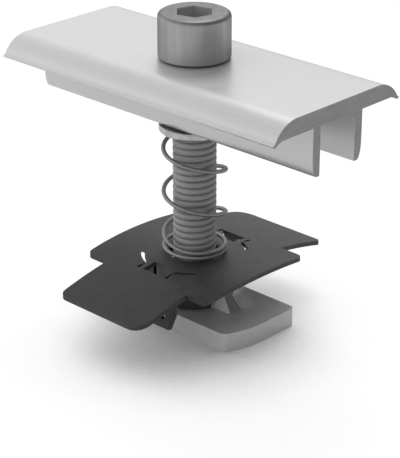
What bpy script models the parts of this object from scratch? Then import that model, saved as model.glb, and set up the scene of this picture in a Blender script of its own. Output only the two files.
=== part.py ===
"""Solar mid clamp: an extruded clamp held on a rail by a cap screw, a sprung washer, a clip and a slot nut.

Units are metres and +Z is up. The origin lies on the screw's axis at the underside of the slot nut. The
clamp and the nut run along X, and the clip's long tabs run along Y.
"""

import math

import bmesh
import bpy
from mathutils import Matrix, Vector

# Clearances
SEAT_GAP = 0.0003
CUT_OVERRUN = 0.001
MERGE = 0.00001

# Slot nut
NUT_LENGTH = 0.0345
NUT_WIDTH = 0.017
NUT_THICKNESS = 0.0036
NUT_TURN_CORNER_RADIUS = 0.0015
NUT_STOP_CORNER_RADIUS = 0.001
NUT_EDGE_RADIUS = 0.0003
NUT_NECK_RADIUS = 0.0056
NUT_NECK_TAPER = 0.0002
NUT_NECK_HEIGHT = 0.0058
NUT_BORE_CHAMFER = 0.0005
RIB_BASE_LENGTH = 0.0224
RIB_BASE_WIDTH = 0.0038
RIB_TOP_LENGTH = 0.0134
RIB_TOP_WIDTH = 0.0011
RIB_HEIGHT = 0.0053

# Rail clip
CLIP_WALL = 0.00085
CLIP_CROWN_HEIGHT = 0.01255
CLIP_ARCH_RADIUS = 0.094
CLIP_TAB_LENGTH = 0.0498
CLIP_TAB_TRAILING_X = 0.0097
CLIP_TAB_LEADING_X = 0.0106
CLIP_WING_LENGTH = 0.0309
CLIP_WING_BOW = 0.00035
CLIP_WING_WIDTH = 0.0263
CLIP_TAB_LEADING_RADIUS = 0.0028
CLIP_TAB_TRAILING_RADIUS = 0.0013
CLIP_WING_LEADING_RADIUS = 0.001
CLIP_WING_TRAILING_RADIUS = 0.0014
CLIP_HOLE_RADIUS = 0.0049
CLIP_COLLAR_RADIUS = 0.0071
CLIP_COLLAR_SLOT = 0.0052
CLIP_SLOT_WIDTH = 0.0007
CLIP_SLOT_RADIUS = 0.0096
CLIP_SLOT_START = math.radians(216)
CLIP_SNAP_HALF_WIDTH = 0.0035
CLIP_SNAP_REACH = 0.0113
CLIP_SNAP_BRIDGE = 0.0009
CLIP_WINDOW_DEPTH = 0.0032
CLIP_HOOK_WIDTH = 0.0052
CLIP_HOOK_SIDE_X = 0.0097
CLIP_HOOK_FRONT_Y = 0.0168
CLIP_HOOK_BACK_Y = 0.0147
CLIP_HOOK_FOOT_HEIGHT = 0.0057
CLIP_HOOK_HEEL_RISE = 0.0021
CLIP_HOOK_WALL = 0.0008
CLIP_HOOK_HOLE_RADIUS = 0.0007
CLIP_HOOK_HOLE_IN = 0.0016
CLIP_HOOK_HOLE_UP = 0.0024

# Cap screw
SCREW_RADIUS = 0.004
SCREW_BORE_PLAY = 0.0003
SCREW_TIP_HEIGHT = 0.0002
SCREW_TIP_CHAMFER = 0.0008
SCREW_THREAD_PITCH = 0.00125
SCREW_THREAD_ROOT_RADIUS = 0.00327
SCREW_HEAD_RADIUS = 0.0065
SCREW_HEAD_HEIGHT = 0.008
SCREW_HEAD_CHAMFER = 0.0004
SCREW_SOCKET_FLATS = 0.006
SCREW_SOCKET_DEPTH = 0.0046
SCREW_SOCKET_POINT = 0.0009
SCREW_SOCKET_TURN = math.radians(-46.4)
SCREW_LENGTH = 0.050

# Clamp profile
CLAMP_LENGTH = 0.0654
CLAMP_FLAT_WIDTH = 0.021
CLAMP_WALL = 0.003
CLAMP_WING_RADIUS = 0.006
CLAMP_WING_REACH = 0.0162
CLAMP_LIP_DROP = 0.00375
CLAMP_LIP_START = 0.0142
CLAMP_LIP_TIP_RADIUS = 0.0004
CLAMP_LEG_GAP = 0.009
CLAMP_LEG_WALL = 0.0018
CLAMP_LEG_DROP = 0.01185
CLAMP_LEG_TOE_WALL = 0.0008
CLAMP_LEG_TOE_HEIGHT = 0.0034
CLAMP_BORE_PLAY = 0.0005

# Retaining washer
WASHER_RADIUS = 0.00645
WASHER_RIM = 0.001
WASHER_THICKNESS = 0.0016
WASHER_FOOT_RADIUS = 0.0052

# Compression spring
SPRING_WIRE_RADIUS = 0.0004
SPRING_COIL_RADIUS = 0.00565
SPRING_LOWER_CLOSED_TURNS = 1.2
SPRING_ACTIVE_TURNS = 2.66
SPRING_UPPER_CLOSED_TURNS = 0.22
SPRING_LEAD_SHARE = 0.06
SPRING_CLOSED_PITCH = 0.0009
SPRING_FOOT_ANGLE = math.radians(43.6)

# Fineness of the curved surfaces, in segments
ROUND_SEGMENTS = 64
THREAD_SEGMENTS = 18
CORNER_SEGMENTS = 5
ARCH_SEGMENTS = 40
SLOT_SEGMENTS = 8
COIL_SEGMENTS = 32
HOLE_SEGMENTS = 16

# Heights that follow from the sizes above
CLIP_UNDERSIDE = CLIP_CROWN_HEIGHT - CLIP_WALL
SCREW_SEAT_HEIGHT = SCREW_TIP_HEIGHT + SCREW_LENGTH
CLAMP_TOP_HEIGHT = SCREW_SEAT_HEIGHT - SEAT_GAP
CLAMP_TOE_HEIGHT = CLAMP_TOP_HEIGHT - CLAMP_LEG_DROP
WASHER_TOP_HEIGHT = CLAMP_TOE_HEIGHT - SEAT_GAP
WASHER_FOOT_HEIGHT = WASHER_TOP_HEIGHT - WASHER_THICKNESS
SCREW_BORE_RADIUS = SCREW_RADIUS + SCREW_BORE_PLAY

STEEL = ("zinc_steel", (0.42, 0.42, 0.43, 1.0), 1.0, 0.35)
SPRING_STEEL = ("spring_steel", (0.45, 0.45, 0.46, 1.0), 1.0, 0.3)
ALUMINIUM = ("satin_aluminium", (0.80, 0.80, 0.81, 1.0), 1.0, 0.38)
CAST_ALUMINIUM = ("cast_aluminium", (0.60, 0.60, 0.61, 1.0), 1.0, 0.5)
WASHER_METAL = ("pale_washer", (0.70, 0.70, 0.71, 1.0), 1.0, 0.4)
BLACK_PLASTIC = ("black_plastic", (0.05, 0.05, 0.055, 1.0), 0.0, 0.55)


def clear_scene():
    for item in list(bpy.data.objects):
        bpy.data.objects.remove(item, do_unlink=True)


def new_collection(name):
    collection = bpy.data.collections.new(name)
    bpy.context.scene.collection.children.link(collection)
    return collection


def make_material(finish):
    name, colour, metallic, roughness = finish
    material = bpy.data.materials.new(name)
    material.use_nodes = True
    shader = material.node_tree.nodes["Principled BSDF"]
    shader.inputs["Base Color"].default_value = colour
    shader.inputs["Metallic"].default_value = metallic
    shader.inputs["Roughness"].default_value = roughness
    return material


def arc(centre, radius, start, end, segments):
    """Points of an arc in a plane, from one angle to another."""
    points = []
    for step in range(segments + 1):
        angle = start + (end - start) * step / segments
        points.append((centre[0] + radius * math.cos(angle), centre[1] + radius * math.sin(angle)))
    return points


def half_turn(points):
    return [(-x, -y) for x, y in points]


def mirrored(points):
    return [(-x, y) for x, y in reversed(points)]


def mesh_object(name, mesh, collection):
    item = bpy.data.objects.new(name, mesh)
    collection.objects.link(item)
    return item


def outline_solid(name, points, thickness, collection):
    """Closed outline in the local XY plane, filled and made as thick as asked, half to each side."""
    curve = bpy.data.curves.new(name, "CURVE")
    curve.dimensions = "2D"
    curve.fill_mode = "BOTH"
    curve.extrude = thickness / 2
    spline = curve.splines.new("POLY")
    spline.points.add(len(points) - 1)
    for point, (x, y) in zip(spline.points, points):
        point.co = (x, y, 0.0, 1.0)
    spline.use_cyclic_u = True
    guide = bpy.data.objects.new(name + "_outline", curve)
    bpy.context.scene.collection.objects.link(guide)
    bpy.context.view_layer.update()
    evaluated = guide.evaluated_get(bpy.context.evaluated_depsgraph_get())
    mesh = bpy.data.meshes.new_from_object(evaluated)
    mesh.name = name
    bpy.data.objects.remove(guide, do_unlink=True)
    shape = bmesh.new()
    shape.from_mesh(mesh)
    bmesh.ops.remove_doubles(shape, verts=shape.verts, dist=MERGE)
    bmesh.ops.dissolve_limit(shape, angle_limit=MERGE, verts=shape.verts, edges=shape.edges)
    bmesh.ops.recalc_face_normals(shape, faces=shape.faces)
    shape.to_mesh(mesh)
    shape.free()
    return mesh_object(name, mesh, collection)


def weld(mesh):
    """Joins points that cuts leave closer together than the merge distance, and drops faces with no area."""
    shape = bmesh.new()
    shape.from_mesh(mesh)
    bmesh.ops.remove_doubles(shape, verts=shape.verts, dist=MERGE)
    bmesh.ops.dissolve_degenerate(shape, edges=shape.edges, dist=MERGE)
    shape.to_mesh(mesh)
    shape.free()


def turned_solid(name, profile, closed, collection):
    """Profile of (radius, height) points, run down its outer side, turned about Z."""
    mesh = bpy.data.meshes.new(name)
    edges = [(step, step + 1) for step in range(len(profile) - 1)]
    if closed:
        edges.append((len(profile) - 1, 0))
    mesh.from_pydata([(radius, 0.0, height) for radius, height in profile], edges, [])
    item = mesh_object(name, mesh, collection)
    screw = item.modifiers.new("turn", "SCREW")
    screw.steps = ROUND_SEGMENTS
    screw.render_steps = ROUND_SEGMENTS
    screw.use_merge_vertices = True
    screw.merge_threshold = MERGE
    return item


def cylinder(name, radius, low, high, collection, top_radius=None, segments=ROUND_SEGMENTS, turn=0.0):
    """Cylinder or cone on the Z axis between two heights."""
    mesh = bpy.data.meshes.new(name)
    shape = bmesh.new()
    bmesh.ops.create_cone(
        shape,
        cap_ends=True,
        segments=segments,
        radius1=radius,
        radius2=radius if top_radius is None else top_radius,
        depth=high - low,
        matrix=Matrix.Rotation(turn, 4, "Z"),
    )
    shape.to_mesh(mesh)
    shape.free()
    item = mesh_object(name, mesh, collection)
    item.location.z = (low + high) / 2
    return item


def box(name, low, high, collection):
    """Box between two opposite corners."""
    mesh = bpy.data.meshes.new(name)
    shape = bmesh.new()
    bmesh.ops.create_cube(shape, size=1.0)
    for vertex in shape.verts:
        for axis in range(3):
            vertex.co[axis] = high[axis] if vertex.co[axis] > 0 else low[axis]
    shape.to_mesh(mesh)
    shape.free()
    return mesh_object(name, mesh, collection)


def combine(item, tool, operation):
    """Boolean of one object with another, which becomes a hidden guide."""
    modifier = item.modifiers.new(tool.name, "BOOLEAN")
    modifier.operation = operation
    modifier.object = tool
    modifier.solver = "EXACT"
    tool.hide_render = True
    tool.display_type = "WIRE"


def round_edges(item, radius):
    """Rounds the edges between an outline solid's flat faces and its sides."""
    bevel = item.modifiers.new("edges", "BEVEL")
    bevel.width = radius
    bevel.segments = 2
    bevel.limit_method = "ANGLE"
    bevel.angle_limit = math.radians(60)


def finish(item, material):
    """Keeps an object's cut shape as its mesh, with its material, smooth round faces and sharp edges."""
    bpy.context.view_layer.update()
    evaluated = item.evaluated_get(bpy.context.evaluated_depsgraph_get())
    mesh = bpy.data.meshes.new_from_object(evaluated)
    mesh.name = item.name
    weld(mesh)
    item.modifiers.clear()
    item.data = mesh
    mesh.materials.clear()
    mesh.materials.append(material)
    mesh.shade_smooth()
    mesh.set_sharp_from_angle(angle=math.radians(30))


def nut_outline():
    """Half a hammer head: one end has a square stop corner and a rounded turning corner."""
    half_length = NUT_LENGTH / 2
    half_width = NUT_WIDTH / 2
    inner = NUT_TURN_CORNER_RADIUS
    centre_y = half_width - inner
    centre_x = math.sqrt((half_length - inner) ** 2 - centre_y**2)
    lean = math.atan2(centre_y, centre_x)
    stop = NUT_STOP_CORNER_RADIUS
    points = arc((centre_x, -centre_y), inner, -math.pi / 2, -lean, CORNER_SEGMENTS)
    points += arc((0.0, 0.0), half_length, -lean, 0.0, 2 * CORNER_SEGMENTS)[1:]
    points += arc((half_length - stop, half_width - stop), stop, 0.0, math.pi / 2, CORNER_SEGMENTS)
    return points


def make_slot_nut(parts, cutters):
    half = nut_outline()
    nut = outline_solid("slot_nut", half + half_turn(half), NUT_THICKNESS, parts)
    nut.location.z = NUT_THICKNESS / 2
    round_edges(nut, NUT_EDGE_RADIUS)
    neck = cylinder(
        "nut_neck", NUT_NECK_RADIUS, CUT_OVERRUN, NUT_THICKNESS + NUT_NECK_HEIGHT, cutters,
        top_radius=NUT_NECK_RADIUS - NUT_NECK_TAPER,
    )
    combine(nut, neck, "UNION")
    combine(nut, nut_rib(cutters), "UNION")
    top = NUT_THICKNESS + NUT_NECK_HEIGHT
    bore = cylinder("nut_bore", SCREW_BORE_RADIUS, -CUT_OVERRUN, top + CUT_OVERRUN, cutters)
    combine(nut, bore, "DIFFERENCE")
    mouth = cylinder(
        "nut_bore_mouth", SCREW_BORE_RADIUS - CUT_OVERRUN, top - NUT_BORE_CHAMFER - CUT_OVERRUN,
        top + CUT_OVERRUN, cutters, top_radius=SCREW_BORE_RADIUS + NUT_BORE_CHAMFER + CUT_OVERRUN,
    )
    combine(nut, mouth, "DIFFERENCE")
    return nut


def nut_rib(cutters):
    """Tapered rib along X: a stadium outline drawn up and drawn in, rooted inside the nut."""
    end_radius = RIB_BASE_WIDTH / 2
    straight = RIB_BASE_LENGTH / 2 - end_radius
    half = arc((straight, 0.0), end_radius, -math.pi / 2, math.pi / 2, 2 * CORNER_SEGMENTS)
    height = RIB_HEIGHT + CUT_OVERRUN
    rib = outline_solid("nut_rib", half + half_turn(half), height, cutters)
    rib.location.z = NUT_THICKNESS - CUT_OVERRUN + height / 2
    draft_x = RIB_TOP_LENGTH / RIB_BASE_LENGTH
    draft_y = RIB_TOP_WIDTH / RIB_BASE_WIDTH
    root_share = CUT_OVERRUN / RIB_HEIGHT
    for vertex in rib.data.vertices:
        rises = vertex.co.z > 0
        vertex.co.x *= draft_x if rises else 1 + (1 - draft_x) * root_share
        vertex.co.y *= draft_y if rises else 1 + (1 - draft_y) * root_share
    return rib


def clip_plan():
    """Half the clip's plan outline: the near tab and the wing with a bowed end beside it."""
    trailing_x = CLIP_TAB_TRAILING_X
    leading_x = CLIP_TAB_LEADING_X
    tab_y = CLIP_TAB_LENGTH / 2
    wing_x = CLIP_WING_LENGTH / 2 - CLIP_WING_BOW
    wing_y = CLIP_WING_WIDTH / 2
    quarter = math.pi / 2
    r = CLIP_TAB_TRAILING_RADIUS
    points = arc((r - trailing_x, r - tab_y), r, -2 * quarter, -quarter, CORNER_SEGMENTS)
    r = CLIP_TAB_LEADING_RADIUS
    points += arc((leading_x - r, r - tab_y), r, -quarter, 0.0, CORNER_SEGMENTS)
    points.append((leading_x, -wing_y))
    r = CLIP_WING_LEADING_RADIUS
    points += arc((wing_x - r, r - wing_y), r, -quarter, 0.0, CORNER_SEGMENTS)
    points += bowed_end(wing_x, r - wing_y, wing_y - CLIP_WING_TRAILING_RADIUS)
    r = CLIP_WING_TRAILING_RADIUS
    points += arc((wing_x - r, wing_y - r), r, 0.0, quarter, CORNER_SEGMENTS)
    points.append((trailing_x, wing_y))
    return points


def bowed_end(x, start, end):
    """Points of the shallow arc between two places along a wing's end, without the places themselves."""
    half_chord = (end - start) / 2
    radius = (half_chord**2 + CLIP_WING_BOW**2) / (2 * CLIP_WING_BOW)
    spread = math.asin(half_chord / radius)
    centre = (x + CLIP_WING_BOW - radius, (start + end) / 2)
    return arc(centre, radius, -spread, spread, SLOT_SEGMENTS)[1:-1]


def arch_height(y, radius):
    """Height of the arch's surface of one radius at a distance y from the crown."""
    return CLIP_CROWN_HEIGHT - CLIP_ARCH_RADIUS + math.sqrt(radius**2 - y**2)


def make_rail_clip(parts, cutters):
    reach = CLIP_TAB_LENGTH / 2 + CUT_OVERRUN
    steps = [reach * (2 * step / ARCH_SEGMENTS - 1) for step in range(ARCH_SEGMENTS + 1)]
    inner_radius = CLIP_ARCH_RADIUS - CLIP_WALL
    section = [(y, arch_height(y, inner_radius)) for y in steps]
    section += [(y, arch_height(y, CLIP_ARCH_RADIUS)) for y in reversed(steps)]
    clip = outline_solid("rail_clip", section, CLIP_WING_LENGTH + 2 * CUT_OVERRUN, parts)
    stand_up(clip)
    half = clip_plan()
    plan = outline_solid("clip_plan", half + half_turn(half), 2 * CLIP_CROWN_HEIGHT, cutters)
    plan.location.z = CLIP_CROWN_HEIGHT
    combine(clip, plan, "INTERSECT")
    add_collar(clip, cutters)
    for turn in (0.0, math.pi):
        add_hook(clip, turn, cutters)
        cut_snap(clip, turn, cutters)
    hole = cylinder(
        "clip_hole", CLIP_HOLE_RADIUS, CLIP_UNDERSIDE - CLIP_WALL, CLIP_CROWN_HEIGHT + CUT_OVERRUN, cutters
    )
    combine(clip, hole, "DIFFERENCE")
    return clip


def stand_up(item):
    """Turns an outline drawn as (y, z) from the local XY plane so that it is extruded along X."""
    turn = Matrix(((0, 0, 1), (1, 0, 0), (0, 1, 0))).to_4x4()
    item.data.transform(turn)


def add_collar(clip, cutters):
    """Round collar under the plate that grips the nut's neck, with slots for the nut's rib."""
    low = NUT_THICKNESS + SEAT_GAP
    inner = NUT_NECK_RADIUS + SEAT_GAP
    high = CLIP_UNDERSIDE + CLIP_WALL / 2
    collar = turned_solid(
        "clip_collar",
        [(inner, high), (CLIP_COLLAR_RADIUS, high), (CLIP_COLLAR_RADIUS, low), (inner, low)],
        True,
        cutters,
    )
    slot_x = CLIP_COLLAR_RADIUS + CUT_OVERRUN
    slot_top = NUT_THICKNESS + RIB_HEIGHT + SEAT_GAP
    slot = box(
        "clip_collar_slot",
        (-slot_x, -CLIP_COLLAR_SLOT / 2, low - CUT_OVERRUN),
        (slot_x, CLIP_COLLAR_SLOT / 2, slot_top),
        cutters,
    )
    combine(collar, slot, "DIFFERENCE")
    combine(clip, collar, "UNION")


def add_hook(clip, turn, cutters):
    """Hook leg under a tab: a front wall with a hole, and a side wall with a slanted heel."""
    side = CLIP_HOOK_SIDE_X
    front = -CLIP_HOOK_FRONT_Y
    back = -CLIP_HOOK_BACK_Y
    wall = CLIP_HOOK_WALL
    foot = CLIP_HOOK_FOOT_HEIGHT
    high = arch_height(front, CLIP_ARCH_RADIUS - CLIP_WALL / 2)
    front_wall = box(
        "clip_hook_front", (side - CLIP_HOOK_WIDTH, front, foot), (side, front + wall, high), cutters
    )
    hole = cylinder(
        "clip_hook_hole", CLIP_HOOK_HOLE_RADIUS, -CUT_OVERRUN, wall + CUT_OVERRUN, cutters,
        segments=HOLE_SEGMENTS,
    )
    hole.rotation_euler = (-math.pi / 2, 0.0, 0.0)
    hole.location = (side - CLIP_HOOK_HOLE_IN, front + wall / 2, foot + CLIP_HOOK_HOLE_UP)
    heel = [
        (front + wall / 2, foot),
        (front + wall, foot),
        (back, foot + CLIP_HOOK_HEEL_RISE),
        (back, high),
        (front + wall / 2, high),
    ]
    side_wall = outline_solid("clip_hook_side", heel, wall, cutters)
    stand_up(side_wall)
    side_wall.location.x = side - wall / 2
    for item in (front_wall, hole, side_wall):
        spin(item, turn)
    combine(front_wall, hole, "DIFFERENCE")
    combine(front_wall, side_wall, "UNION")
    combine(clip, front_wall, "UNION")


def spin(item, turn):
    """Carries an object about the screw's axis."""
    bpy.context.view_layer.update()
    item.matrix_world = Matrix.Rotation(turn, 4, "Z") @ item.matrix_world


def cut_snap(clip, turn, cutters):
    """Slots that free the snap tongue beside the collar, and the window in its end."""
    half_slot = CLIP_SLOT_WIDTH / 2
    outer = CLIP_SLOT_RADIUS + half_slot
    inner = CLIP_SLOT_RADIUS - half_slot
    edge = CLIP_SNAP_HALF_WIDTH
    outer_angle = 1.5 * math.pi - math.asin(edge / outer)
    inner_angle = 1.5 * math.pi - math.asin(edge / inner)
    reach = CLIP_SNAP_REACH
    left = arc((0.0, 0.0), outer, CLIP_SLOT_START, outer_angle, SLOT_SEGMENTS)
    left.append((-edge - half_slot, -reach))
    left.append((-edge + half_slot, -reach))
    left += arc((0.0, 0.0), inner, inner_angle, CLIP_SLOT_START, SLOT_SEGMENTS)
    window_left = CLIP_SNAP_BRIDGE + half_slot - edge
    window_top = CLIP_WINDOW_DEPTH - reach
    window = [
        (window_left, -reach),
        (edge, -reach),
        (edge - CLIP_WINDOW_DEPTH, window_top),
        (window_left, window_top),
    ]
    for label, points in (("slot", left), ("mirror_slot", mirrored(left)), ("window", window)):
        cutter = outline_solid("clip_" + label, points, 2 * CLIP_WALL, cutters)
        cutter.location.z = arch_height(reach, CLIP_ARCH_RADIUS - CLIP_WALL / 2)
        spin(cutter, turn)
        combine(clip, cutter, "DIFFERENCE")


def threaded_shank(low, high, collection):
    """Right-hand thread: a V form wound up the axis, cut flat at both ends and coned at the tip."""
    pitch = SCREW_THREAD_PITCH
    turns = math.ceil((high - low) / pitch) + 2
    start = low - pitch
    root = SCREW_THREAD_ROOT_RADIUS
    form = [(root, start), (SCREW_RADIUS, start + pitch / 2), (root, start + pitch)]
    shape = bmesh.new()
    corners = [shape.verts.new((radius, 0.0, height)) for radius, height in form]
    for pair in zip(corners, corners[1:]):
        shape.edges.new(pair)
    bmesh.ops.spin(
        shape,
        geom=shape.verts[:] + shape.edges[:],
        cent=(0.0, 0.0, 0.0),
        axis=(0.0, 0.0, 1.0),
        dvec=(0.0, 0.0, pitch / THREAD_SEGMENTS),
        angle=math.tau * turns,
        steps=turns * THREAD_SEGMENTS,
    )
    bmesh.ops.remove_doubles(shape, verts=shape.verts, dist=MERGE)
    for height, outward in ((low, -1.0), (high, 1.0)):
        bmesh.ops.bisect_plane(
            shape,
            geom=shape.verts[:] + shape.edges[:] + shape.faces[:],
            plane_co=(0.0, 0.0, height),
            plane_no=(0.0, 0.0, outward),
            clear_outer=True,
        )
    for vert in shape.verts:
        limit = SCREW_RADIUS - SCREW_TIP_CHAMFER + vert.co.z - low
        radius = vert.co.xy.length
        if radius > limit:
            vert.co.xy *= limit / radius
    bmesh.ops.holes_fill(shape, edges=[edge for edge in shape.edges if edge.is_boundary])
    bmesh.ops.recalc_face_normals(shape, faces=shape.faces)
    mesh = bpy.data.meshes.new("threaded_shank")
    shape.to_mesh(mesh)
    shape.free()
    return mesh_object("threaded_shank", mesh, collection)


def make_cap_screw(parts, cutters):
    top = SCREW_SEAT_HEIGHT + SCREW_HEAD_HEIGHT
    edge = SCREW_HEAD_CHAMFER
    crown = arc((SCREW_HEAD_RADIUS - edge, top - edge), edge, math.pi / 2, 0.0, CORNER_SEGMENTS)
    profile = [(0.0, top)] + crown + [(SCREW_HEAD_RADIUS, SCREW_SEAT_HEIGHT), (0.0, SCREW_SEAT_HEIGHT)]
    screw = turned_solid("cap_screw", profile, False, parts)
    shank = threaded_shank(SCREW_TIP_HEIGHT, SCREW_SEAT_HEIGHT + CUT_OVERRUN, cutters)
    combine(screw, shank, "UNION")
    corner = SCREW_SOCKET_FLATS / math.sqrt(3)
    floor = top - SCREW_SOCKET_DEPTH
    socket = cylinder(
        "socket", corner, floor, top + CUT_OVERRUN, cutters, segments=6, turn=SCREW_SOCKET_TURN
    )
    combine(screw, socket, "DIFFERENCE")
    flat = SCREW_SOCKET_FLATS / 2
    point = cylinder(
        "socket_point", 0.0, floor - SCREW_SOCKET_POINT, floor + CUT_OVERRUN, cutters, top_radius=flat
    )
    combine(screw, point, "DIFFERENCE")
    return screw


def clamp_section():
    """Half the extrusion's section as (y, z) points, from the flat top round to the channel."""
    top = CLAMP_TOP_HEIGHT
    flat = CLAMP_FLAT_WIDTH / 2
    radius = CLAMP_WING_RADIUS
    tip = CLAMP_LIP_TIP_RADIUS
    tip_y = CLAMP_WING_REACH - tip
    tip_z = top - CLAMP_LIP_DROP + tip
    sweep = math.asin((tip_y - flat) / radius)
    under = top - CLAMP_WALL
    outer_leg = CLAMP_LEG_GAP / 2 + CLAMP_LEG_WALL
    inner_leg = CLAMP_LEG_GAP / 2
    toe = top - CLAMP_LEG_DROP
    toe_y = inner_leg + CLAMP_LEG_TOE_WALL
    points = arc((flat, top - radius), radius, math.pi / 2, math.pi / 2 - sweep, 2 * CORNER_SEGMENTS)
    points += arc((tip_y, tip_z), tip, 0.0, -0.75 * math.pi, CORNER_SEGMENTS)
    points.append((CLAMP_LIP_START, under))
    points.append((outer_leg, under))
    points += leg_toe(outer_leg, toe_y, toe)
    points.append((inner_leg, toe))
    points.append((inner_leg, under))
    return points


def leg_toe(outer, toe_y, toe):
    """Outer face of a leg's toe: a quarter of an ellipse from the face in to the narrow foot."""
    points = []
    for step in range(CORNER_SEGMENTS + 1):
        angle = step / CORNER_SEGMENTS * math.pi / 2
        points.append((
            toe_y + (outer - toe_y) * math.cos(angle),
            toe + CLAMP_LEG_TOE_HEIGHT * (1 - math.sin(angle)),
        ))
    return points


def make_clamp_profile(parts, cutters):
    half = clamp_section()
    clamp = outline_solid("clamp_profile", half + mirrored(half), CLAMP_LENGTH, parts)
    stand_up(clamp)
    bore = cylinder(
        "clamp_bore", SCREW_RADIUS + CLAMP_BORE_PLAY, CLAMP_TOP_HEIGHT - CLAMP_WALL - CUT_OVERRUN,
        CLAMP_TOP_HEIGHT + CUT_OVERRUN, cutters,
    )
    combine(clamp, bore, "DIFFERENCE")
    return clamp


def make_retaining_washer(parts):
    drop = WASHER_THICKNESS - WASHER_RIM
    shrink = WASHER_RADIUS - WASHER_FOOT_RADIUS
    profile = [(SCREW_BORE_RADIUS, WASHER_TOP_HEIGHT), (WASHER_RADIUS, WASHER_TOP_HEIGHT)]
    for step in range(CORNER_SEGMENTS + 1):
        angle = step / CORNER_SEGMENTS * math.pi / 2
        profile.append((
            WASHER_FOOT_RADIUS + shrink * math.cos(angle),
            WASHER_FOOT_HEIGHT + drop * (1 - math.sin(angle)),
        ))
    profile.append((SCREW_BORE_RADIUS, WASHER_FOOT_HEIGHT))
    return turned_solid("retaining_washer", profile, True, parts)


def spring_height(turn, low, high):
    """Height of the wire's centre after so many turns from the foot, eased into the closed end coils."""
    closed = SPRING_CLOSED_PITCH
    start = SPRING_LOWER_CLOSED_TURNS
    active = SPRING_ACTIVE_TURNS
    if turn < start:
        return low + closed * turn
    if turn > start + active:
        return high - closed * (start + active + SPRING_UPPER_CLOSED_TURNS - turn)
    share = (turn - start) / active
    lead_share = SPRING_LEAD_SHARE
    slope = 1.0 / (1.0 - lead_share)
    if share < lead_share:
        eased = slope * share * share / (2 * lead_share)
    elif share > 1.0 - lead_share:
        eased = 1.0 - slope * (1.0 - share) ** 2 / (2 * lead_share)
    else:
        eased = slope * (share - lead_share / 2)
    foot = low + closed * start
    head = high - closed * SPRING_UPPER_CLOSED_TURNS
    return foot + (head - foot) * eased


def make_compression_spring(parts):
    turns = SPRING_LOWER_CLOSED_TURNS + SPRING_ACTIVE_TURNS + SPRING_UPPER_CLOSED_TURNS
    low = CLIP_CROWN_HEIGHT + SEAT_GAP + SPRING_WIRE_RADIUS
    high = WASHER_FOOT_HEIGHT - SEAT_GAP - SPRING_WIRE_RADIUS
    curve = bpy.data.curves.new("compression_spring", "CURVE")
    curve.dimensions = "3D"
    curve.bevel_depth = SPRING_WIRE_RADIUS
    curve.bevel_resolution = 2
    curve.use_fill_caps = True
    spline = curve.splines.new("POLY")
    count = round(turns * COIL_SEGMENTS)
    spline.points.add(count)
    for step, point in enumerate(spline.points):
        turn = turns * step / count
        angle = SPRING_FOOT_ANGLE - 2 * math.pi * turn
        point.co = (
            SPRING_COIL_RADIUS * math.cos(angle),
            SPRING_COIL_RADIUS * math.sin(angle),
            spring_height(turn, low, high),
            1.0,
        )
    spring = bpy.data.objects.new("compression_spring", curve)
    parts.objects.link(spring)
    return spring


def carrier(name, height, parts):
    """Empty on the screw's axis that carries a moving piece."""
    empty = bpy.data.objects.new(name, None)
    empty.location = Vector((0.0, 0.0, height))
    parts.objects.link(empty)
    return empty


def carry(item, empty):
    bpy.context.view_layer.update()
    world = item.matrix_world.copy()
    item.parent = empty
    item.matrix_parent_inverse = empty.matrix_world.inverted()
    item.matrix_world = world


def main():
    clear_scene()
    parts = new_collection("solar_mid_clamp")
    cutters = new_collection("cutters")
    nut = make_slot_nut(parts, cutters)
    clip = make_rail_clip(parts, cutters)
    screw = make_cap_screw(parts, cutters)
    clamp = make_clamp_profile(parts, cutters)
    washer = make_retaining_washer(parts)
    spring = make_compression_spring(parts)
    finish(nut, make_material(CAST_ALUMINIUM))
    finish(clip, make_material(BLACK_PLASTIC))
    finish(screw, make_material(STEEL))
    finish(clamp, make_material(ALUMINIUM))
    finish(washer, make_material(WASHER_METAL))
    spring.data.materials.append(make_material(SPRING_STEEL))
    travel = carrier("screw_travel", SCREW_SEAT_HEIGHT, parts)
    press = carrier("clamp_press", WASHER_TOP_HEIGHT, parts)
    carry(screw, travel)
    carry(press, travel)
    carry(washer, press)
    carry(clamp, press)


main()
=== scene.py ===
import math

import bmesh
import bpy
from mathutils import Matrix, Vector


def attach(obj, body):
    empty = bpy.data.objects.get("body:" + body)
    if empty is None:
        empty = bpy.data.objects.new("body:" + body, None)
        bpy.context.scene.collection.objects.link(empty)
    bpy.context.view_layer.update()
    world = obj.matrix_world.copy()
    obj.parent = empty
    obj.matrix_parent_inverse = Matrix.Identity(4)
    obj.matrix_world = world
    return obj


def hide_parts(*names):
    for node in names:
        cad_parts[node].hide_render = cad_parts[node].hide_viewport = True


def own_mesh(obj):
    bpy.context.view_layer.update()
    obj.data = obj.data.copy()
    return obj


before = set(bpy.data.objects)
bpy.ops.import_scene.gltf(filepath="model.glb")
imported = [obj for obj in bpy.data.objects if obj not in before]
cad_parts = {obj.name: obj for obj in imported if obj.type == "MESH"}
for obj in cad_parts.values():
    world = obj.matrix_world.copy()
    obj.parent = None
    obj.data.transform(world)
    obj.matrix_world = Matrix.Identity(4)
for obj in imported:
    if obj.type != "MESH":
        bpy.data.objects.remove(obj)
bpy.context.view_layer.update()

# Slot nut
# The hammer-head nut that is dropped into the rail and turned. It is one aluminium die casting with a neck
# and a tapered rib, so it is dull and faintly pitted, with flow lines along its sides and rubbed edges.


def cad_shape(node):
    """A copy of a CAD solid with its loose triangles joined and its flat faces made whole."""
    join_distance = 0.000004
    flat_angle = math.radians(0.3)
    shape = bmesh.new()
    shape.from_mesh(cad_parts[node].data)
    bmesh.ops.remove_doubles(shape, verts=shape.verts, dist=join_distance)
    bmesh.ops.dissolve_limit(shape, angle_limit=flat_angle, verts=shape.verts, edges=shape.edges)
    return shape


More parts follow.
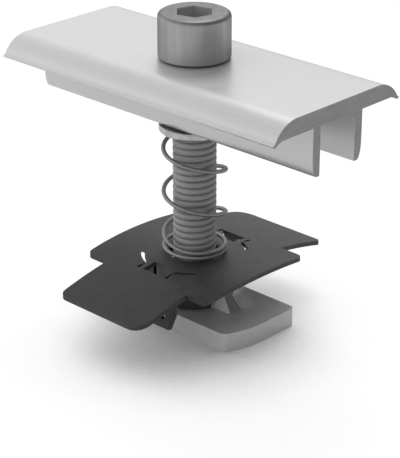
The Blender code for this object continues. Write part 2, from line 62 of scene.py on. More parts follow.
def ease_edges(shape, width, from_angle=math.radians(40)):
    """Rounds the outer edges a little, and marks the rounded faces for wear."""
    edge_mark = shape.loops.layers.float.new("edge")
    outer = [edge for edge in shape.edges if edge.is_manifold and edge.is_convex]
    outer = [edge for edge in outer if edge.calc_face_angle() > from_angle]
    eased = bmesh.ops.bevel(
        shape, geom=outer, affect="EDGES", offset=width, offset_type="OFFSET", segments=2, profile=0.5,
        material=-1, clamp_overlap=True, loop_slide=True,
    )
    for face in eased["faces"]:
        for corner in face.loops:
            corner[edge_mark] = 1.0


def make_piece(name, shape, material, sharp_angle=math.radians(35)):
    """Turns a finished shape into an object, smooth between its sharp edges."""
    mesh = bpy.data.meshes.new(name)
    shape.to_mesh(mesh)
    shape.free()
    mesh.shade_smooth()
    mesh.set_sharp_from_angle(angle=sharp_angle)
    mesh.materials.append(material)
    piece = bpy.data.objects.new(name, mesh)
    bpy.context.scene.collection.objects.link(piece)
    normals = piece.modifiers.new("even shading", "WEIGHTED_NORMAL")
    normals.keep_sharp = True
    return piece


def add_node(tree, kind, values=None, **settings):
    """One shader node, with its settings, its plain input values and its links."""
    made = tree.nodes.new("ShaderNode" + kind)
    for name, value in settings.items():
        setattr(made, name, value)
    for name, value in (values or {}).items():
        if isinstance(value, bpy.types.NodeSocket):
            tree.links.new(value, made.inputs[name])
        else:
            made.inputs[name].default_value = value
    return made


def new_group(name, inputs, outputs):
    """An empty shader group with its sockets, and the ends that its nodes link to."""
    tree = bpy.data.node_groups.new(name, "ShaderNodeTree")
    for label, kind, value in inputs:
        socket = tree.interface.new_socket(label, in_out="INPUT", socket_type="NodeSocket" + kind)
        socket.default_value = value
    for label, kind in outputs:
        tree.interface.new_socket(label, in_out="OUTPUT", socket_type="NodeSocket" + kind)
    given = tree.nodes.new("NodeGroupInput").outputs
    result = tree.nodes.new("NodeGroupOutput").inputs
    return tree, given, result


def use_group(tree, group, values=None):
    """Places a shared group in a material with its own values."""
    made = tree.nodes.new("ShaderNodeGroup")
    made.node_tree = group
    for name, value in (values or {}).items():
        if isinstance(value, bpy.types.NodeSocket):
            tree.links.new(value, made.inputs[name])
        else:
            made.inputs[name].default_value = value
    return made.outputs[0]


def make_grain_group():
    """Grain of a given size. A stretch below one along an axis draws the grain out into lines along it."""
    tree, given, result = new_group(
        "grain", [("Size", "Float", 0.001), ("Stretch", "Vector", (1, 1, 1))], [("Value", "Float")]
    )
    place = add_node(tree, "TexCoord")
    stretched = add_node(tree, "Mapping", {"Vector": place.outputs["Object"], "Scale": given["Stretch"]})
    scale = add_node(tree, "Math", {0: 1.0, 1: given["Size"]}, operation="DIVIDE")
    noise = add_node(
        tree, "TexNoise",
        {"Vector": stretched.outputs[0], "Scale": scale.outputs[0], "Detail": 3.0, "Roughness": 0.55},
    )
    spread = add_node(tree, "MapRange", {"Value": noise.outputs[0], "From Min": 0.3, "From Max": 0.7})
    tree.links.new(spread.outputs[0], result["Value"])
    return tree


def make_wear_group():
    """Where the rounded edges are rubbed bright: patchy along the faces that carry the edge mark."""
    tree, given, result = new_group(
        "edge wear", [("Size", "Float", 0.002), ("Amount", "Float", 0.5)], [("Mask", "Float")]
    )
    mark = add_node(tree, "Attribute", attribute_name="edge")
    patches = use_group(tree, grain, {"Size": given["Size"]})
    rubbed = add_node(tree, "Math", {0: patches, 1: mark.outputs["Fac"]}, operation="MULTIPLY")
    mask = add_node(tree, "Math", {0: rubbed.outputs[0], 1: given["Amount"]}, operation="MULTIPLY")
    tree.links.new(mask.outputs[0], result["Mask"])
    return tree


def new_surface(name, metallic):
    """A material with its Principled shader, and the tree in which its finish is built."""
    material = bpy.data.materials.new(name)
    material.use_nodes = True
    tree = material.node_tree
    shader = tree.nodes["Principled BSDF"]
    shader.inputs["Metallic"].default_value = metallic
    return material, tree, shader


def mix_colours(tree, share, first, second):
    """A colour between two, by a share that varies over the surface.

    The Mix node's colours are its inputs 6 and 7 and its output 2.
    """
    mixed = add_node(tree, "Mix", {0: share, 6: first, 7: second}, data_type="RGBA")
    return mixed.outputs[2]


def blend_values(tree, share, low, high):
    """A value that runs from low to high as the share runs from none to all."""
    return add_node(tree, "MapRange", {"Value": share, "To Min": low, "To Max": high}).outputs[0]


def add_values(tree, first, second, weight):
    """The first value plus a part of the second."""
    return add_node(tree, "Math", {0: second, 1: weight, 2: first}, operation="MULTIPLY_ADD").outputs[0]


def raise_surface(tree, shader, height, depth, strength):
    """Feeds a height pattern to the shader as fine relief of a given depth."""
    bump = add_node(tree, "Bump", {"Height": height, "Distance": depth, "Strength": strength})
    tree.links.new(bump.outputs[0], shader.inputs["Normal"])


grain = make_grain_group()
edge_wear = make_wear_group()

cast_skin_colour = (0.82, 0.82, 0.825, 1.0)
cast_dull_colour = (0.77, 0.77, 0.775, 1.0)
cast_rubbed_colour = (0.86, 0.86, 0.86, 1.0)


def make_cast_aluminium():
    """Grey die-cast skin: mottled, finely pitted, with faint level flow lines and rubbed edges."""
    material, tree, shader = new_surface("cast_aluminium", metallic=0.35)
    mottle = use_group(tree, grain, {"Size": 0.0022})
    pits = use_group(tree, grain, {"Size": 0.00022})
    flow = use_group(tree, grain, {"Size": 0.0003, "Stretch": (0.04, 0.04, 1.0)})
    shade = add_values(tree, mottle, flow, weight=0.3)
    skin = mix_colours(tree, shade, cast_dull_colour, cast_skin_colour)
    worn = use_group(tree, edge_wear, {"Size": 0.0012, "Amount": 0.8})
    tree.links.new(mix_colours(tree, worn, skin, cast_rubbed_colour), shader.inputs["Base Color"])
    tree.links.new(blend_values(tree, mottle, low=0.58, high=0.5), shader.inputs["Roughness"])
    raise_surface(tree, shader, add_values(tree, pits, flow, weight=0.8), depth=0.00003, strength=0.6)
    return material


cast_aluminium = make_cast_aluminium()
nut_edge = 0.00015

nut_shape = cad_shape("slot_nut")
ease_edges(nut_shape, nut_edge)
nut = make_piece("cast_slot_nut", nut_shape, cast_aluminium)
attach(nut, "base")
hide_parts("slot_nut")

# Rail clip
# The black clip that holds the nut to the rail's mouth until the screw is tight. It is moulded in one shot
# from glass-filled nylon, so its arched plate is matt and speckled. A black block behind each snap window
# stands in for the shade seen through it.

clip_edge = 0.00012
shade_block_from = Vector((0.0058, 0.0040, 0.0068))
shade_block_to = Vector((0.0075, 0.0050, 0.0119))
nylon_colour = (0.030, 0.030, 0.032, 1.0)
nylon_pale_colour = (0.060, 0.060, 0.063, 1.0)
fibre_colour = (0.095, 0.095, 0.096, 1.0)


def make_black_nylon():
    """Matt black moulding: a fine spark-eroded grain, with paler fibre specks and rubbed edges."""
    material, tree, shader = new_surface("black_plastic", metallic=0.0)
    clouds = use_group(tree, grain, {"Size": 0.003})
    texture = use_group(tree, grain, {"Size": 0.0003})
    fibres = use_group(tree, grain, {"Size": 0.00035, "Stretch": (1.0, 0.45, 1.0)})
    specks = add_node(tree, "MapRange", {"Value": fibres, "From Min": 0.8, "From Max": 1.05}).outputs[0]
    shade = add_values(tree, clouds, texture, weight=0.5)
    body = mix_colours(tree, shade, nylon_colour, nylon_pale_colour)
    speckled = mix_colours(tree, specks, body, fibre_colour)
    worn = use_group(tree, edge_wear, {"Size": 0.0015, "Amount": 0.35})
    tree.links.new(mix_colours(tree, worn, speckled, fibre_colour), shader.inputs["Base Color"])
    tree.links.new(blend_values(tree, clouds, low=0.5, high=0.62), shader.inputs["Roughness"])
    raise_surface(tree, shader, texture, depth=0.00004, strength=0.5)
    return material


black_nylon = make_black_nylon()


def add_window_shade_block(shape, side):
    """A small upright black block beside the collar, behind a snap window, its root let into the plate,
    that darkens the view through the window as painted shade.
    """
    block = bmesh.ops.create_cube(shape, size=1.0)["verts"]
    middle = (shade_block_from + shade_block_to) / 2
    bmesh.ops.scale(shape, vec=shade_block_to - shade_block_from, verts=block)
    bmesh.ops.translate(shape, vec=(middle.x * side, middle.y * side, middle.z), verts=block)


clip_shape = cad_shape("rail_clip")
# Painted shade: a black block behind each snap window darkens the view through it.
for shade_block_side in (-1, 1):
    add_window_shade_block(clip_shape, shade_block_side)
ease_edges(clip_shape, clip_edge)
clip = make_piece("moulded_rail_clip", clip_shape, black_nylon)
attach(clip, "base")
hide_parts("rail_clip")

# Spring
# The coil spring that holds the clamp up off the rail. It is cold-drawn round steel wire, wound left-handed
# with its end turns closed. It is made in two lengths, for its foot stays on the clip as its head sinks.

wire_radius = 0.0004
coil_radius = 0.00565
foot_angle = math.radians(43.6)
closed_pitch = 0.0009
lower_closed_turns = 1.2
active_turns = 2.66
upper_closed_turns = 0.22
lead_share = 0.06
wire_low = 0.01325
wire_high = 0.03545
steps_per_turn = 48
wire_sides = 12
split_step = 150
wire_colour = (0.38, 0.38, 0.383, 1.0)
wire_dark_colour = (0.26, 0.26, 0.263, 1.0)
wire_grazing_tint = (0.30, 0.30, 0.305, 1.0)


def coil_height(turn):
    """Height of the wire's centre after so many turns, eased into the closed end turns."""
    if turn < lower_closed_turns:
        return wire_low + closed_pitch * turn
    if turn > lower_closed_turns + active_turns:
        left = lower_closed_turns + active_turns + upper_closed_turns - turn
        return wire_high - closed_pitch * left
    share = (turn - lower_closed_turns) / active_turns
    slope = 1.0 / (1.0 - lead_share)
    if share < lead_share:
        eased = slope * share * share / (2 * lead_share)
    elif share > 1.0 - lead_share:
        eased = 1.0 - slope * (1.0 - share) ** 2 / (2 * lead_share)
    else:
        eased = slope * (share - lead_share / 2)
    foot = wire_low + closed_pitch * lower_closed_turns
    head = wire_high - closed_pitch * upper_closed_turns
    return foot + (head - foot) * eased


def wind_wire(first_step, last_step):
    """A length of the wire: a round section swept round the axis, then set to the coil's heights.

    The sweep climbs by an even rise at each step, from which the step of each vertex is read again.
    """
    step_rise = 0.001
    wire = bmesh.new()
    section = bmesh.ops.create_circle(wire, cap_ends=False, radius=wire_radius, segments=wire_sides)
    upright = Matrix.Translation((coil_radius, 0, 0)) @ Matrix.Rotation(math.radians(90), 4, "X")
    bmesh.ops.transform(wire, matrix=upright, verts=section["verts"])
    steps = last_step - first_step
    bmesh.ops.spin(
        wire, geom=wire.verts[:] + wire.edges[:], cent=(0, 0, 0), axis=(0, 0, 1), dvec=(0, 0, step_rise),
        angle=-2 * math.pi * steps / steps_per_turn, steps=steps, use_merge=False, use_duplicate=False,
    )
    bmesh.ops.rotate(
        wire, cent=(0, 0, 0), verts=wire.verts,
        matrix=Matrix.Rotation(foot_angle - 2 * math.pi * first_step / steps_per_turn, 3, "Z"),
    )
    for vert in wire.verts:
        step = round(vert.co.z / step_rise)
        turn = (first_step + step) / steps_per_turn
        vert.co.z += coil_height(turn) - step * step_rise
    bmesh.ops.holes_fill(wire, edges=wire.edges, sides=wire_sides)
    bmesh.ops.recalc_face_normals(wire, faces=wire.faces)
    return wire


def make_drawn_wire():
    """Plain drawn wire, dulled in patches, with fine marks drawn out along its length."""
    material, tree, shader = new_surface("spring_steel", metallic=0.75)
    shader.inputs["Specular Tint"].default_value = wire_grazing_tint
    patches = use_group(tree, grain, {"Size": 0.0015})
    fine = use_group(tree, grain, {"Size": 0.00012, "Stretch": (0.3, 0.3, 1.0)})
    shade = add_values(tree, fine, patches, weight=0.5)
    tree.links.new(mix_colours(tree, shade, wire_dark_colour, wire_colour), shader.inputs["Base Color"])
    tree.links.new(blend_values(tree, patches, low=0.42, high=0.52), shader.inputs["Roughness"])
    raise_surface(tree, shader, fine, depth=0.00001, strength=0.5)
    return material


drawn_wire = make_drawn_wire()
last_step = round((lower_closed_turns + active_turns + upper_closed_turns) * steps_per_turn)

lower_coils = make_piece("spring_lower_coils", wind_wire(0, split_step), drawn_wire)
upper_coils = make_piece("spring_upper_coils", wind_wire(split_step, last_step), drawn_wire)
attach(lower_coils, "base")
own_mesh(lower_coils)
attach(upper_coils, "spring_carriage")
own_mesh(upper_coils)
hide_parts("compression_spring")
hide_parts("compression_spring")

# Washer
# The round washer that the spring presses up under the clamp's legs. It is turned steel with a pale zinc
# coat, and its underside is drawn in by a small cove to a foot that lies over the spring's last turn.

washer_radius = 0.00645
washer_foot_radius = 0.0052
washer_bore_radius = 0.0043
washer_top = 0.03775
washer_foot = 0.03615
washer_cove = 0.0006
washer_cove_steps = 8
washer_edge = 0.0001
turned_steps = 96
turned_join_distance = 0.000001
coat_colour = (0.50, 0.50, 0.505, 1.0)
coat_dull_colour = (0.39, 0.39, 0.395, 1.0)
coat_rubbed_colour = (0.80, 0.80, 0.80, 1.0)


def turn_shape(profile, closed):
    """Spins a profile of radius and height points round the axis, as a lathe would turn it."""
    shape = bmesh.new()
    corners = [shape.verts.new((radius, 0, height)) for radius, height in profile]
    pairs = list(zip(corners, corners[1:]))
    if closed:
        pairs.append((corners[-1], corners[0]))
    for pair in pairs:
        shape.edges.new(pair)
    bmesh.ops.spin(
        shape, geom=shape.verts[:] + shape.edges[:], cent=(0, 0, 0), axis=(0, 0, 1), angle=2 * math.pi,
        steps=turned_steps, use_merge=True, use_duplicate=False,
    )
    bmesh.ops.remove_doubles(shape, verts=shape.verts, dist=turned_join_distance)
    bmesh.ops.recalc_face_normals(shape, faces=shape.faces)
    return shape


def make_axis_distance_group():
    """How far a point of the surface lies from the screw's axis."""
    tree, given, result = new_group("axis distance", [], [("Distance", "Float")])
    place = add_node(tree, "TexCoord")
    parts = add_node(tree, "SeparateXYZ", {0: place.outputs["Object"]})
    flat = add_node(tree, "CombineXYZ", {0: parts.outputs[0], 1: parts.outputs[1]})
    radius = add_node(tree, "VectorMath", {0: flat.outputs[0]}, operation="LENGTH")
    tree.links.new(radius.outputs["Value"], result["Distance"])
    return tree


axis_distance = make_axis_distance_group()


def make_turned_group():
    """Tool marks that run round the axis: rings on a flat face, and lines round a side."""
    tree, given, result = new_group("turned marks", [("Size", "Float", 0.0002)], [("Value", "Float")])
    place = add_node(tree, "TexCoord")
    parts = add_node(tree, "SeparateXYZ", {0: place.outputs["Object"]})
    rings = add_node(tree, "CombineXYZ", {0: use_group(tree, axis_distance), 1: parts.outputs[2]})
    scale = add_node(tree, "Math", {0: 1.0, 1: given["Size"]}, operation="DIVIDE")
    noise = add_node(
        tree, "TexNoise", {"Vector": rings.outputs[0], "Scale": scale.outputs[0], "Detail": 2.0}
    )
    spread = add_node(tree, "MapRange", {"Value": noise.outputs[0], "From Min": 0.3, "From Max": 0.7})
    tree.links.new(spread.outputs[0], result["Value"])
    return tree


turned_marks = make_turned_group()


def make_zinc_coat():
    """Pale zinc coat over turned steel: faint rings, cloudy dulling and bright edges."""
    material, tree, shader = new_surface("pale_washer", metallic=1.0)
    rings = use_group(tree, turned_marks, {"Size": 0.00012})
    clouds = use_group(tree, grain, {"Size": 0.0012})
    shade = add_values(tree, clouds, rings, weight=0.4)
    coat = mix_colours(tree, shade, coat_dull_colour, coat_colour)
    worn = use_group(tree, edge_wear, {"Size": 0.001, "Amount": 0.5})
    tree.links.new(mix_colours(tree, worn, coat, coat_rubbed_colour), shader.inputs["Base Color"])
    tree.links.new(blend_values(tree, clouds, low=0.5, high=0.38), shader.inputs["Roughness"])
    raise_surface(tree, shader, rings, depth=0.00001, strength=0.6)
    return material


washer_profile = [(washer_bore_radius, washer_top), (washer_radius, washer_top)]
for step in range(washer_cove_steps + 1):
    lean = step / washer_cove_steps * math.pi / 2
    washer_profile.append((
        washer_foot_radius + (washer_radius - washer_foot_radius) * math.cos(lean),
        washer_foot + washer_cove * (1 - math.sin(lean)),
    ))
washer_profile.append((washer_bore_radius, washer_foot))
washer_shape = turn_shape(washer_profile, closed=True)
ease_edges(washer_shape, washer_edge)
washer = make_piece("turned_washer", washer_shape, make_zinc_coat())
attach(washer, "washer_carriage")
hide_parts("retaining_washer")

# Clamp
# The part that presses on two module frames at once. It is cut from a long aluminium extrusion, so fine
# lines run along its length and its two ends show the saw, and a clearance hole is drilled through it.

clamp_half_length = 0.0327
clamp_edge = 0.00013
extruded_colour = (0.78, 0.78, 0.785, 1.0)
extruded_dull_colour = (0.755, 0.755, 0.76, 1.0)
# The sawn ends are a duller cut face, and their much darker colour is painted shade.
sawn_shaded_colour = (0.44, 0.44, 0.445, 1.0)
sawn_dull_shaded_colour = (0.34, 0.34, 0.345, 1.0)
extruded_rubbed_colour = (0.90, 0.90, 0.90, 1.0)
sawn_from_share = 0.6
sawn_to_share = 0.2


def make_extruded_aluminium():
    """Satin mill finish with lines along the extrusion, and duller sawn ends painted darker as shade."""
    material, tree, shader = new_surface("satin_aluminium", metallic=0.36)
    lines = use_group(tree, grain, {"Size": 0.00025, "Stretch": (0.012, 1.0, 1.0)})
    bands = use_group(tree, grain, {"Size": 0.0016, "Stretch": (0.02, 1.0, 1.0)})
    frost = use_group(tree, grain, {"Size": 0.00015})
    smudges = use_group(tree, grain, {"Size": 0.006})
    shade = add_values(tree, add_values(tree, bands, lines, weight=0.35), smudges, weight=0.3)
    skin = mix_colours(tree, shade, extruded_dull_colour, extruded_colour)
    teeth = use_group(tree, grain, {"Size": 0.0002, "Stretch": (1.0, 0.05, 1.0)})
    # Painted shade: the sawn ends take a much darker colour than the skin, beside their real saw marks.
    sawn = mix_colours(tree, teeth, sawn_dull_shaded_colour, sawn_shaded_colour)
    place = add_node(tree, "TexCoord")
    parts = add_node(tree, "SeparateXYZ", {0: place.outputs["Object"]})
    along = add_node(tree, "Math", {0: parts.outputs[0]}, operation="ABSOLUTE")
    at_end = add_node(
        tree, "MapRange",
        {
            "Value": along.outputs[0], "From Min": clamp_half_length - clamp_edge * sawn_from_share,
            "From Max": clamp_half_length - clamp_edge * sawn_to_share,
        },
    ).outputs[0]
    worn = use_group(tree, edge_wear, {"Size": 0.001, "Amount": 0.6})
    surface = mix_colours(tree, at_end, skin, sawn)
    tree.links.new(mix_colours(tree, worn, surface, extruded_rubbed_colour), shader.inputs["Base Color"])
    satin = blend_values(tree, smudges, low=0.3, high=0.37)
    tree.links.new(add_values(tree, satin, at_end, weight=0.15), shader.inputs["Roughness"])
    drawn = add_values(tree, lines, frost, weight=0.5)
    relief = add_node(tree, "Mix", {0: at_end, 2: drawn, 3: teeth})
    raise_surface(tree, shader, relief.outputs[0], depth=0.00001, strength=0.3)
    return material


clamp_shape = cad_shape("clamp_profile")
ease_edges(clamp_shape, clamp_edge)
clamp = make_piece("extruded_clamp", clamp_shape, make_extruded_aluminium())
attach(clamp, "clamp")
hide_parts("clamp_profile")

# Cap screw
# The M8 socket head screw that draws the clamp down to the nut. It is forged steel with a rolled thread and
# a punched hexagon socket. Its thread is swept as a true right-hand helix.

thread_pitch = 0.00125
thread_crest_radius = 0.00398
thread_root_radius = 0.0036
thread_form_steps = 8
thread_roundness = 4
thread_turns_below = 2
thread_turns_above = 1
thread_join_distance = 0.000002
tip_height = 0.0002
tip_radius = 0.0032
seat_height = 0.0502
shank_root = 0.0003
head_radius = 0.0065
head_top = 0.0582
head_foot_edge = 0.0002
head_rim_radius = 0.0008
head_rim_steps = 6
socket_flats = 0.006
socket_depth = 0.0046
socket_point = 0.0009
socket_mouth_edge = 0.00006
socket_turn = math.radians(-46.4)
steel_colour = (0.45, 0.45, 0.455, 1.0)
steel_grazing_tint = (0.35, 0.35, 0.355, 1.0)
steel_dark_colour = (0.30, 0.30, 0.305, 1.0)
# Painted shade: the head's rim, and a little of its top, are darkened by how far they face up.
steel_rim_shade_colour = (0.22, 0.22, 0.222, 1.0)
rim_painted_shade = 0.75
rim_facing_from = 0.2
rim_facing_to = 0.7
top_painted_shade = 0.2
top_facing_from = 0.95
top_facing_to = 0.995
steel_root_shade_colour = (0.34, 0.34, 0.343, 1.0)
steel_crest_colour = (0.46, 0.46, 0.464, 1.0)
socket_steel_colour = (0.62, 0.62, 0.62, 1.0)
socket_bright_radius = 0.0036
socket_mask_fade = 0.0001


def sweep_thread():
    """The threaded shank: one thread form swept round and up, then cut to length, pointed and closed."""
    shank = bmesh.new()
    depth = thread_crest_radius - thread_root_radius
    turns = math.ceil((seat_height - tip_height) / thread_pitch) + thread_turns_below + thread_turns_above
    start = tip_height - thread_turns_below * thread_pitch
    corners = []
    for step in range(thread_form_steps + 1):
        share = step / thread_form_steps
        radius = thread_root_radius + depth * (1 - (2 * share - 1) ** thread_roundness)
        corners.append(shank.verts.new((radius, 0, start + thread_pitch * share)))
    for pair in zip(corners, corners[1:]):
        shank.edges.new(pair)
    bmesh.ops.spin(
        shank, geom=shank.verts[:] + shank.edges[:], cent=(0, 0, 0), axis=(0, 0, 1),
        dvec=(0, 0, thread_pitch / steps_per_turn), angle=2 * math.pi * turns,
        steps=turns * steps_per_turn, use_merge=False, use_duplicate=False,
    )
    bmesh.ops.remove_doubles(shank, verts=shank.verts, dist=thread_join_distance)
    for height, outward in ((tip_height, -1), (seat_height + shank_root, 1)):
        bmesh.ops.bisect_plane(
            shank, geom=shank.verts[:] + shank.edges[:] + shank.faces[:], plane_co=(0, 0, height),
            plane_no=(0, 0, outward), clear_outer=True,
        )
    for vert in shank.verts:
        radius = math.hypot(vert.co.x, vert.co.y)
        limit = tip_radius + (vert.co.z - tip_height)
        if radius > limit:
            vert.co.x *= limit / radius
            vert.co.y *= limit / radius
    open_edges = [edge for edge in shank.edges if edge.is_boundary]
    bmesh.ops.holes_fill(shank, edges=open_edges, sides=0)
    bmesh.ops.recalc_face_normals(shank, faces=shank.faces)
    return shank


def sink_loop(shape, edges, share, height):
    """Extrudes a loop of edges, draws it in to a share of its width and sets its height."""
    drawn = bmesh.ops.extrude_edge_only(shape, edges=edges)["geom"]
    verts = {item for item in drawn if isinstance(item, bmesh.types.BMVert)}
    for vert in verts:
        vert.co = Vector((vert.co.x * share, vert.co.y * share, height))
    sides = [item for item in drawn if isinstance(item, bmesh.types.BMEdge)]
    return [edge for edge in sides if verts.issuperset(edge.verts)]


def turn_head():
    """The head: its outside is turned, and the socket is bridged from a round mouth to six flats."""
    profile = [
        (0.0, seat_height), (head_radius - head_foot_edge, seat_height),
        (head_radius, seat_height + head_foot_edge),
    ]
    for step in range(head_rim_steps + 1):
        lean = step / head_rim_steps * math.pi / 2
        profile.append((
            head_radius - head_rim_radius * (1 - math.cos(lean)),
            head_top - head_rim_radius * (1 - math.sin(lean)),
        ))
    head = turn_shape(profile, closed=False)
    rim = [edge for edge in head.edges if edge.is_boundary]
    ring = bmesh.ops.create_circle(head, cap_ends=False, radius=1.0, segments=turned_steps)
    for vert in ring["verts"]:
        angle = math.atan2(vert.co.y, vert.co.x)
        from_flat = (angle % math.radians(60)) - math.radians(30)
        radius = (socket_flats / 2 + socket_mouth_edge) / math.cos(from_flat)
        vert.co = Vector((radius * math.cos(angle), radius * math.sin(angle), head_top))
    mouth = list({edge for vert in ring["verts"] for edge in vert.link_edges})
    bmesh.ops.bridge_loops(head, edges=rim + mouth)
    flats_share = socket_flats / (socket_flats + 2 * socket_mouth_edge)
    mouth = sink_loop(head, mouth, share=flats_share, height=head_top - socket_mouth_edge)
    mouth = sink_loop(head, mouth, share=1.0, height=head_top - socket_depth)
    sink_loop(head, mouth, share=0.0, height=head_top - socket_depth - socket_point)
    bmesh.ops.remove_doubles(head, verts=head.verts, dist=turned_join_distance)
    bmesh.ops.recalc_face_normals(head, faces=head.faces)
    bmesh.ops.rotate(
        head, cent=(0, 0, 0), verts=head.verts, matrix=Matrix.Rotation(socket_turn, 3, "Z")
    )
    return head


def make_thread_steel():
    """Plain oiled steel of the shank, cloudy, with painted shade down in the thread's roots."""
    material, tree, shader = new_surface("threaded_steel", metallic=0.3)
    shader.inputs["Specular Tint"].default_value = steel_grazing_tint
    clouds = use_group(tree, grain, {"Size": 0.0018})
    fine = use_group(tree, grain, {"Size": 0.00014})
    # Painted shade: the steel is darker the nearer it lies to the thread's root.
    above_root = add_node(
        tree, "MapRange",
        {
            "Value": use_group(tree, axis_distance), "From Min": thread_root_radius,
            "From Max": thread_crest_radius,
        },
    ).outputs[0]
    shade = add_values(tree, blend_values(tree, above_root, low=0.0, high=0.75), clouds, weight=0.3)
    steel = mix_colours(tree, shade, steel_root_shade_colour, steel_crest_colour)
    tree.links.new(steel, shader.inputs["Base Color"])
    tree.links.new(blend_values(tree, clouds, low=0.5, high=0.6), shader.inputs["Roughness"])
    raise_surface(tree, shader, fine, depth=0.000012, strength=0.6)
    return material


def find_socket_walls(tree):
    """A mask for the walls and floor of the socket, below its mouth."""
    place = add_node(tree, "TexCoord")
    parts = add_node(tree, "SeparateXYZ", {0: place.outputs["Object"]})
    in_socket = add_node(
        tree, "MapRange",
        {
            "Value": use_group(tree, axis_distance), "From Min": socket_bright_radius,
            "From Max": socket_bright_radius - socket_mask_fade,
        },
    )
    below_top = add_node(
        tree, "MapRange",
        {"Value": parts.outputs[2], "From Min": head_top, "From Max": head_top - socket_mask_fade},
    )
    walls = add_node(tree, "Math", {0: in_socket.outputs[0], 1: below_top.outputs[0]}, operation="MULTIPLY")
    return walls.outputs[0]


def find_painted_head_shade(tree):
    """How much painted shade darkens the head: none on its side, most on its rim, and a little on its top.

    The rim and the top are told apart by how far the surface faces up, from 0 on the side to 1 on the top.
    """
    place = add_node(tree, "TexCoord")
    facing = add_node(tree, "SeparateXYZ", {0: place.outputs["Normal"]})
    rim = {
        "Value": facing.outputs[2], "From Min": rim_facing_from, "From Max": rim_facing_to,
        "To Max": rim_painted_shade,
    }
    flat = {
        "Value": facing.outputs[2], "From Min": top_facing_from, "From Max": top_facing_to,
        "To Max": top_painted_shade - rim_painted_shade,
    }
    on_rim = add_node(tree, "MapRange", rim)
    on_top = add_node(tree, "MapRange", flat)
    return add_node(tree, "Math", {0: on_rim.outputs[0], 1: on_top.outputs[0]}, operation="ADD").outputs[0]


def make_head_steel():
    """Plain oiled steel of the head: streaks up its side painted as reflections, painted shade on its rim
    and top, and bare socket walls.
    """
    material, tree, shader = new_surface("zinc_steel", metallic=0.8)
    shader.inputs["Specular Tint"].default_value = steel_grazing_tint
    clouds = use_group(tree, grain, {"Size": 0.0018})
    fine = use_group(tree, grain, {"Size": 0.00014})
    # Painted reflection: the streaks paint light and dark bands up the side as reflections; they also give
    # the side a faint real relief.
    streaks = use_group(tree, grain, {"Size": 0.0013, "Stretch": (1.0, 1.0, 0.05)})
    rings = use_group(tree, turned_marks, {"Size": 0.00022})
    marks = add_values(tree, streaks, rings, weight=0.25)
    shade = add_values(tree, blend_values(tree, marks, low=0.1, high=0.75), clouds, weight=0.3)
    outside = mix_colours(tree, shade, steel_dark_colour, steel_colour)
    # Painted shade on the rim, and a little on the top, by how far the surface faces up.
    outside = mix_colours(tree, find_painted_head_shade(tree), outside, steel_rim_shade_colour)
    steel = mix_colours(tree, find_socket_walls(tree), outside, socket_steel_colour)
    tree.links.new(steel, shader.inputs["Base Color"])
    tree.links.new(blend_values(tree, clouds, low=0.36, high=0.46), shader.inputs["Roughness"])
    relief = add_values(tree, fine, streaks, weight=1.2)
    raise_surface(tree, shader, relief, depth=0.000012, strength=0.6)
    return material


screw_shank = make_piece("screw_shank", sweep_thread(), make_thread_steel())
screw_head = make_piece("screw_head", turn_head(), make_head_steel())
for screw_piece in (screw_shank, screw_head):
    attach(screw_piece, "screw")
    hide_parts("cap_screw")

# Floor
# A plain pale table, seen white by the camera and in the metal, and a mid grey to the light that it
# bounces. Under the clamp and towards the camera it carries a painted shadow, on top of the real shade from
# the lamp and room.

floor_half_width = 4.0
bounce_colour = (0.34, 0.34, 0.34, 1.0)
seen_colour = (0.34, 0.34, 0.34, 1.0)
seen_glow = 0.80
painted_shadow_reach = 0.050
painted_shadow_depth = 1.4
painted_shadow_open = 0.80
painted_shadow_lean = Vector((-1.0, 0.9, 0.9))


def make_floor_material():
    """A matt floor that glows where it is seen, so that it is white away from the parts, with a painted
    shadow that dims its glow and colour where the parts crowd over it.
    """
    material = bpy.data.materials.new("pale_floor")
    material.use_nodes = True
    tree = material.node_tree
    tree.nodes.clear()
    rays = add_node(tree, "LightPath")
    seen = add_node(
        tree, "Math",
        {0: rays.outputs["Is Camera Ray"], 1: rays.outputs["Is Glossy Ray"]}, operation="MAXIMUM",
    )
    seen = add_node(
        tree, "Math", {0: seen.outputs[0], 1: rays.outputs["Is Transmission Ray"]}, operation="MAXIMUM"
    )
    bounce = add_node(tree, "BsdfDiffuse", {"Color": bounce_colour})
    lean = add_node(tree, "CombineXYZ", {0: painted_shadow_lean.x, 1: painted_shadow_lean.y, 2: painted_shadow_lean.z})
    toward_lamp = add_node(tree, "VectorMath", {0: lean.outputs[0]}, operation="NORMALIZE")
    # Painted shadow: an occlusion test leaned towards the lamp darkens the floor's glow and colour under
    # and in front of the parts.
    openness = add_node(
        tree, "AmbientOcclusion",
        {"Color": (1, 1, 1, 1), "Distance": painted_shadow_reach, "Normal": toward_lamp.outputs[0]},
    )
    clear = add_node(tree, "MapRange", {"Value": openness.outputs["AO"], "From Max": painted_shadow_open})
    painted_shadow = add_node(tree, "Math", {0: clear.outputs[0], 1: painted_shadow_depth}, operation="POWER")
    shaded = mix_colours(tree, painted_shadow.outputs[0], (0, 0, 0, 1), seen_colour)
    strength = blend_values(tree, painted_shadow.outputs[0], low=0.0, high=seen_glow)
    paint = add_node(tree, "BsdfDiffuse", {"Color": shaded})
    glow = add_node(tree, "Emission", {"Color": (1, 1, 1, 1), "Strength": strength})
    lit = add_node(tree, "AddShader", {0: paint.outputs[0], 1: glow.outputs[0]})
    mixed = add_node(tree, "MixShader", {0: seen.outputs[0], 1: bounce.outputs[0], 2: lit.outputs[0]})
    add_node(tree, "OutputMaterial", {"Surface": mixed.outputs[0]})
    return material


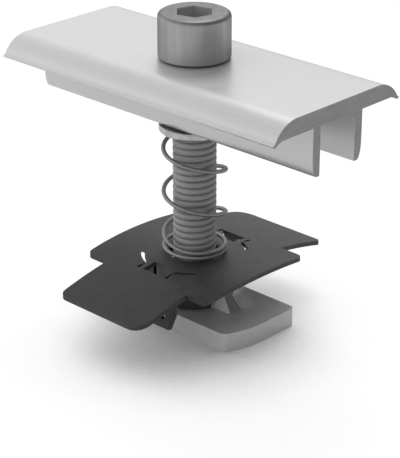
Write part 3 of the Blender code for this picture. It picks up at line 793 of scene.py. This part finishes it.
floor_shape = bmesh.new()
bmesh.ops.create_grid(floor_shape, x_segments=1, y_segments=1, size=floor_half_width)
floor_mesh = bpy.data.meshes.new("floor")
floor_shape.to_mesh(floor_mesh)
floor_shape.free()
floor_mesh.materials.append(make_floor_material())
floor = bpy.data.objects.new("floor", floor_mesh)
bpy.context.scene.collection.objects.link(floor)

# Light
# A pale studio: soft light comes from all round at mid height, most of it from the left and behind, with a
# dimmer ceiling and a dark right side. One weak lamp above and behind deepens the shade under the head.

room_levels = ((0.0, 0.44), (0.25, 0.72), (0.45, 0.79), (0.72, 0.43), (1.0, 0.45))
room_bright_side = Vector((-0.88, -0.22, 0.0))
room_side_low = 0.10
room_side_high = 1.90
lamp_place = Vector((-0.22, 0.30, 0.60))
lamp_target = Vector((0.0, 0.0, 0.03))
lamp_width = 0.25
lamp_power = 1.0


def make_room():
    """The world: a ring of soft light, brighter on one side, which the camera itself sees as white."""
    world = bpy.data.worlds.new("room")
    world.use_nodes = True
    tree = world.node_tree
    tree.nodes.clear()
    place = add_node(tree, "TexCoord")
    parts = add_node(tree, "SeparateXYZ", {0: place.outputs["Generated"]})
    ring = add_node(tree, "ValToRGB", {0: parts.outputs[2]})
    ring.color_ramp.interpolation = "EASE"
    stops = ring.color_ramp.elements
    while len(stops) < len(room_levels):
        # A new stop starts in the middle, and the next loop puts it at its own height.
        stops.new(0.5)
    for stop, (height, level) in zip(stops, room_levels):
        stop.position = height
        stop.color = (level, level, level, 1.0)
    facing = add_node(
        tree, "VectorMath", {0: place.outputs["Generated"], 1: room_bright_side}, operation="DOT_PRODUCT"
    )
    side = add_node(
        tree, "MapRange",
        {
            "Value": facing.outputs["Value"], "From Min": -1.0, "From Max": 1.0,
            "To Min": room_side_low, "To Max": room_side_high,
        },
    )
    level = add_node(tree, "Math", {0: ring.outputs[0], 1: side.outputs[0]}, operation="MULTIPLY")
    rays = add_node(tree, "LightPath")
    seen = add_node(tree, "Mix", {0: rays.outputs["Is Camera Ray"], 2: level.outputs[0], 3: 1.0})
    glow = add_node(tree, "Background", {"Color": (1, 1, 1, 1), "Strength": seen.outputs[0]})
    add_node(tree, "OutputWorld", {"Surface": glow.outputs[0]})
    return world


bpy.context.scene.world = make_room()
bpy.context.scene.view_settings.view_transform = "Standard"

lamp_data = bpy.data.lights.new("overhead_lamp", "AREA")
lamp_data.shape = "DISK"
lamp_data.size = lamp_width
lamp_data.energy = lamp_power
lamp = bpy.data.objects.new("overhead_lamp", lamp_data)
lamp.location = lamp_place
lamp.rotation_euler = (lamp_target - lamp_place).to_track_quat("-Z", "Y").to_euler()
bpy.context.scene.collection.objects.link(lamp)

# Camera
# A long lens about 0.3 m away, looking down over the clamp's front right corner. Its place, line and focal
# length were fitted to the edges that the photograph shows.

camera_place = Vector((0.19678, -0.20555, 0.14606))
camera_line = Vector((-0.6274, 0.6598, -0.4137))
camera_lens = 133.9
camera_sensor_width = 36.0

camera_data = bpy.data.cameras.new("camera")
camera_data.lens = camera_lens
camera_data.sensor_width = camera_sensor_width
camera = bpy.data.objects.new("camera", camera_data)
camera.location = camera_place
camera.rotation_euler = camera_line.to_track_quat("-Z", "Y").to_euler()
bpy.context.scene.collection.objects.link(camera)
bpy.context.scene.camera = camera
